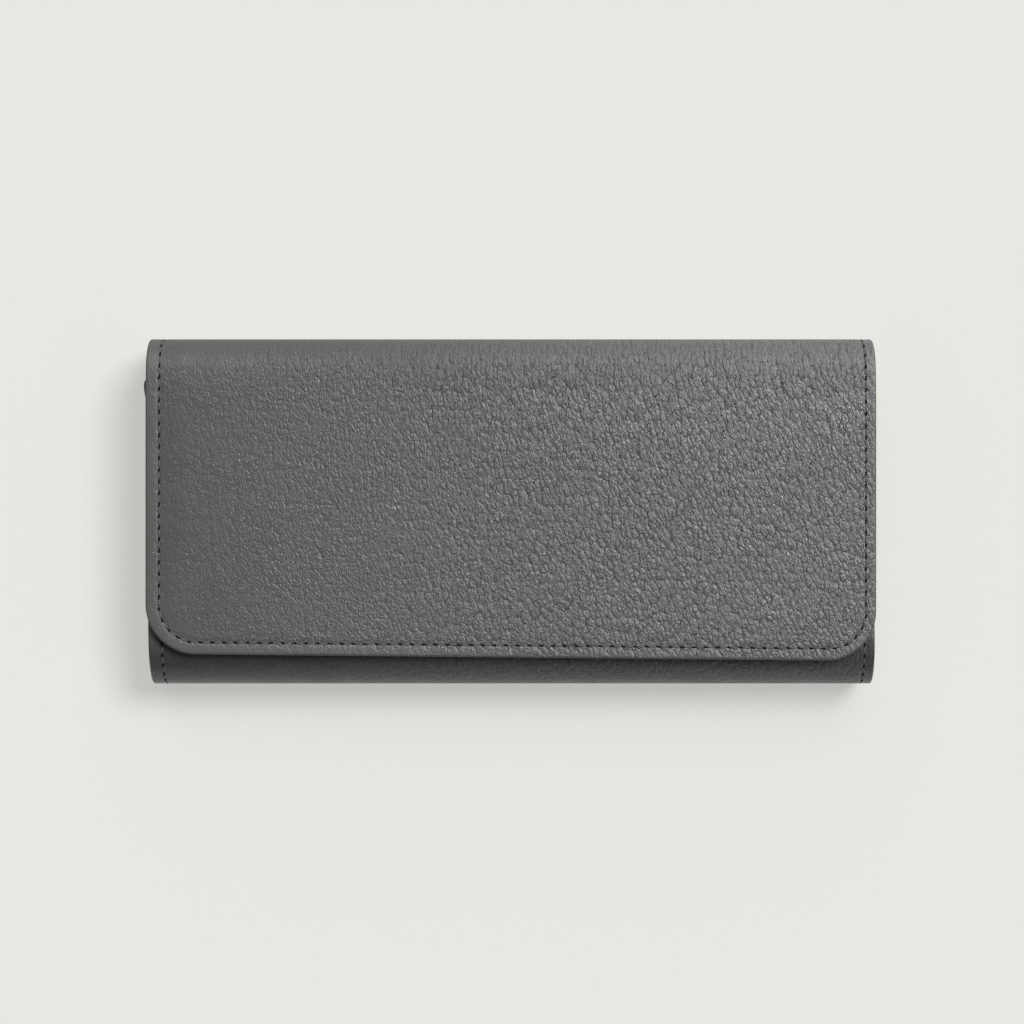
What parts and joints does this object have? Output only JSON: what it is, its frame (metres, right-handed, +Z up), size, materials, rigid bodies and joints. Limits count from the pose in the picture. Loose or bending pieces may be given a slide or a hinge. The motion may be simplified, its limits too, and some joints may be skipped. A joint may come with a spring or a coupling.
{
  "type": "continental wallet",
  "caption": "Long flap wallet in grained leather with card slots, banknote rooms and a zipped coin pocket, closed and lying on its back.",
  "frame": {"origin": "centre of the back face, where the closed wallet lies on the table", "axes": "+X to the right along the wallet, +Y from the bottom fold to the top fold, +Z up from the back to the flap"},
  "size_m": [0.19, 0.0908, 0.0246],
  "materials": {
    "grained_leather": "pebbled grain, semi-matt",
    "smooth_leather": "smooth, semi-matt",
    "bag_fabric": "woven",
    "zip_tape": "woven",
    "board": "fibreboard, raw",
    "zip_metal": "polished",
    "magnet_steel": "plated"
  },
  "bodies": {
    "back": {"back_cover": "grained_leather", "back_board": "board", "back_lining": "smooth_leather", "back_card_strip_1": "smooth_leather", "back_card_strip_2": "smooth_leather", "back_card_strip_3": "smooth_leather", "back_card_strip_4": "smooth_leather", "left_back_gusset": "smooth_leather", "right_back_gusset": "smooth_leather"},
    "low_fold": {"low_fold_cover": "grained_leather", "low_fold_lining": "smooth_leather"},
    "spine": {"spine_cover": "grained_leather", "spine_lining": "smooth_leather"},
    "high_fold": {"high_fold_cover": "grained_leather", "high_fold_lining": "smooth_leather"},
    "flap": {"flap_cover": "grained_leather", "flap_board": "board", "flap_lining": "smooth_leather", "flap_magnet_left": "magnet_steel", "flap_magnet_right": "magnet_steel"},
    "coin_pocket": {"coin_back_wall": "smooth_leather", "coin_front_wall": "smooth_leather", "coin_bag": "bag_fabric", "zip_tape_back": "zip_tape", "zip_tape_front": "zip_tape", "zip_teeth_back": "zip_metal", "zip_teeth_front": "zip_metal", "zip_top_stop_back": "zip_metal", "zip_top_stop_front": "zip_metal", "zip_bottom_stop": "zip_metal", "left_front_gusset": "smooth_leather", "right_front_gusset": "smooth_leather"},
    "front": {"front_cover": "grained_leather", "front_board": "board", "front_lining": "smooth_leather", "front_card_strip_1": "smooth_leather", "front_card_strip_2": "smooth_leather", "front_card_strip_3": "smooth_leather", "front_magnet_left": "magnet_steel", "front_magnet_right": "magnet_steel"},
    "zip_slider": {"zip_slider": "zip_metal"},
    "zip_pull": {"zip_pull": "zip_metal"}
  },
  "joints": [
    {"name": "back_fold", "type": "hinge", "parent": "back", "child": "low_fold", "pos_m": [0, 0.03972, 0.00099], "axis": [-1, 0, 0], "range_deg": [0, 45]},
    {"name": "spine_low_fold", "type": "hinge", "parent": "low_fold", "child": "spine", "pos_m": [0, 0.04441, 0.00568], "axis": [-1, 0, 0], "range_deg": [0, 45]},
    {"name": "spine_high_fold", "type": "hinge", "parent": "spine", "child": "high_fold", "pos_m": [0, 0.04441, 0.01892], "axis": [-1, 0, 0], "range_deg": [0, 45]},
    {"name": "flap_fold", "type": "hinge", "parent": "high_fold", "child": "flap", "pos_m": [0, 0.03972, 0.02361], "axis": [-1, 0, 0], "range_deg": [0, 45]},
    {"name": "coin_fan", "type": "hinge", "parent": "back", "child": "coin_pocket", "pos_m": [0, -0.04485, 0.01095], "axis": [1, 0, 0], "range_deg": [0, 8], "deforming": ["left_back_gusset", "right_back_gusset"]},
    {"name": "front_fan", "type": "hinge", "parent": "coin_pocket", "child": "front", "pos_m": [0, -0.04485, 0.01095], "axis": [1, 0, 0], "range_deg": [0, 8], "deforming": ["left_front_gusset", "right_front_gusset"]},
    {"name": "zip_slide", "type": "slide", "parent": "coin_pocket", "child": "zip_slider", "axis": [-1, 0, 0], "range_m": [0, 0.142]},
    {"name": "zip_pull_swing", "type": "hinge", "parent": "zip_slider", "child": "zip_pull", "pos_m": [0.07, 0.0287, 0.011], "axis": [0, 0, -1], "range_deg": [0, 180]}
  ],
  "couplings": [
    {"joint": "spine_low_fold", "follows": "back_fold", "ratio": 1},
    {"joint": "spine_high_fold", "follows": "back_fold", "ratio": 1},
    {"joint": "flap_fold", "follows": "back_fold", "ratio": 1},
    {"joint": "coin_fan", "follows": "back_fold", "ratio": 0.17777},
    {"joint": "front_fan", "follows": "back_fold", "ratio": 0.17777}
  ]
}
